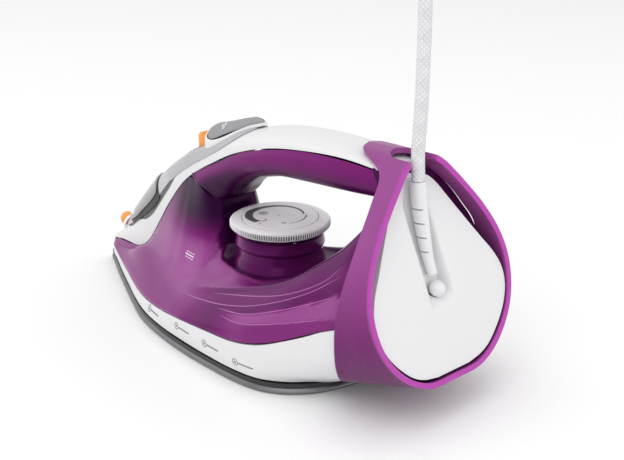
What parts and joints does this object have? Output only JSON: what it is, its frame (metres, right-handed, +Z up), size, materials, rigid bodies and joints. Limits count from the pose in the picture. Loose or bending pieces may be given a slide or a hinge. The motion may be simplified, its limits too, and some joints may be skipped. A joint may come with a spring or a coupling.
{
  "type": "steam iron",
  "caption": "Corded steam iron with a translucent water tank, a closed handle over a temperature dial, a steam slider, two keys, and a heel ring around a white rear cover with a swivel cord.",
  "frame": {"origin": "bottom centre of the iron's box, on the plane of the soleplate", "axes": "+X to the nose, +Y to the iron's left, +Z up from the soleplate"},
  "size_m": [0.3028, 0.1204, 0.281],
  "materials": {
    "white_plastic": "satin white moulding",
    "purple_plastic": "gloss purple moulding",
    "tank_plastic": "translucent purple moulding",
    "grey_plastic": "satin grey",
    "pale_plastic": "satin pale grey",
    "orange_plastic": "satin orange",
    "black_plastic": "heat-resistant black",
    "clear_plastic": "translucent clear",
    "soleplate": "coated grey",
    "aluminium": "as cast",
    "steel": "plain",
    "rubber": "plain",
    "textile": "braided white with grey flecks"
  },
  "bodies": {
    "iron": {"soleplate": "soleplate", "heater_casting": "aluminium", "chamber_cover": "aluminium", "heating_element": "steel", "heat_shield": "black_plastic", "skirt": "white_plastic", "water_tank": "tank_plastic", "tank_floor": "purple_plastic", "handle_lower_shell": "purple_plastic", "handle_cover": "white_plastic", "heel_ring": "purple_plastic", "rear_cover": "white_plastic", "rear_frame": "purple_plastic", "dial_collar": "purple_plastic", "indicator_lens": "clear_plastic", "indicator_lamp": "clear_plastic", "thermostat": "steel", "thermal_fuse": "steel", "nose_panel": "clear_plastic", "filler_neck": "clear_plastic", "lid_pin": "steel", "nozzle_socket": "pale_plastic", "spray_nozzle": "orange_plastic", "control_panel": "pale_plastic", "button_pod": "white_plastic", "drip_valve_seat": "pale_plastic", "drip_valve_seal": "rubber", "spray_pump_barrel": "pale_plastic", "burst_pump_barrel": "pale_plastic", "spray_pump_spring": "steel", "burst_pump_spring": "steel", "spray_hose": "clear_plastic", "burst_hose": "clear_plastic", "terminal_block": "white_plastic", "cord_clamp": "grey_plastic", "live_lead": "rubber", "neutral_lead": "rubber", "earth_lead": "rubber", "element_pin_left": "steel", "element_pin_right": "steel", "casting_screw_front": "steel", "casting_screw_left": "steel", "casting_screw_right": "steel"},
    "dial": {"temperature_dial": "pale_plastic", "dial_disc": "pale_plastic", "thermostat_shaft": "steel"},
    "slider": {"steam_slider": "orange_plastic"},
    "needle": {"drip_needle": "steel"},
    "spray_button": {"spray_key": "grey_plastic"},
    "burst_button": {"burst_key": "grey_plastic"},
    "spray_piston": {"spray_pump_piston": "pale_plastic"},
    "burst_piston": {"burst_pump_piston": "pale_plastic"},
    "lid": {"filler_lid": "grey_plastic"},
    "cord": {"cord_swivel": "white_plastic", "strain_relief": "white_plastic", "power_cord": "textile", "plug_body": "white_plastic", "plug_pin_left": "steel", "plug_pin_right": "steel"}
  },
  "joints": [
    {"name": "dial_turn", "type": "hinge", "parent": "iron", "child": "dial", "pos_m": [-0.018, 0, 0.07], "axis": [0, 0, 1], "range_deg": [0, 250]},
    {"name": "steam_slide", "type": "slide", "parent": "iron", "child": "slider", "axis": [0.8718, 0, -0.4899], "range_m": [0, 0.0075]},
    {"name": "needle_lift", "type": "slide", "parent": "iron", "child": "needle", "axis": [0, 0, 1], "range_m": [0, 0.0019]},
    {"name": "spray_press", "type": "hinge", "parent": "iron", "child": "spray_button", "pos_m": [-0.0055, 0, 0.1266], "axis": [0, 1, 0], "range_deg": [0, 4], "stiffness_Nm_per_rad": 0.25, "springref_deg": -5.73},
    {"name": "burst_press", "type": "hinge", "parent": "iron", "child": "burst_button", "pos_m": [-0.0055, 0, 0.1266], "axis": [0, 1, 0], "range_deg": [0, 4], "stiffness_Nm_per_rad": 0.25, "springref_deg": -5.73},
    {"name": "spray_stroke", "type": "slide", "parent": "iron", "child": "spray_piston", "axis": [0, 0, -1], "range_m": [0, 0.0027], "deforming": ["spray_pump_spring"]},
    {"name": "burst_stroke", "type": "slide", "parent": "iron", "child": "burst_piston", "axis": [0, 0, -1], "range_m": [0, 0.0027], "deforming": ["burst_pump_spring"]},
    {"name": "lid_open", "type": "hinge", "parent": "iron", "child": "lid", "pos_m": [0.12185, 0, 0.0389], "axis": [0, 1, 0], "range_deg": [0, 75]},
    {"name": "cord_tilt", "type": "hinge", "parent": "iron", "child": "cord", "pos_m": [-0.136, 0, 0.066], "axis": [0, -1, 0], "range_deg": [0, 60]}
  ],
  "couplings": [
    {"joint": "needle_lift", "follows": "steam_slide", "ratio": 0.25},
    {"joint": "spray_stroke", "follows": "spray_press", "m_per_rad": 0.038},
    {"joint": "burst_stroke", "follows": "burst_press", "m_per_rad": 0.038}
  ]
}
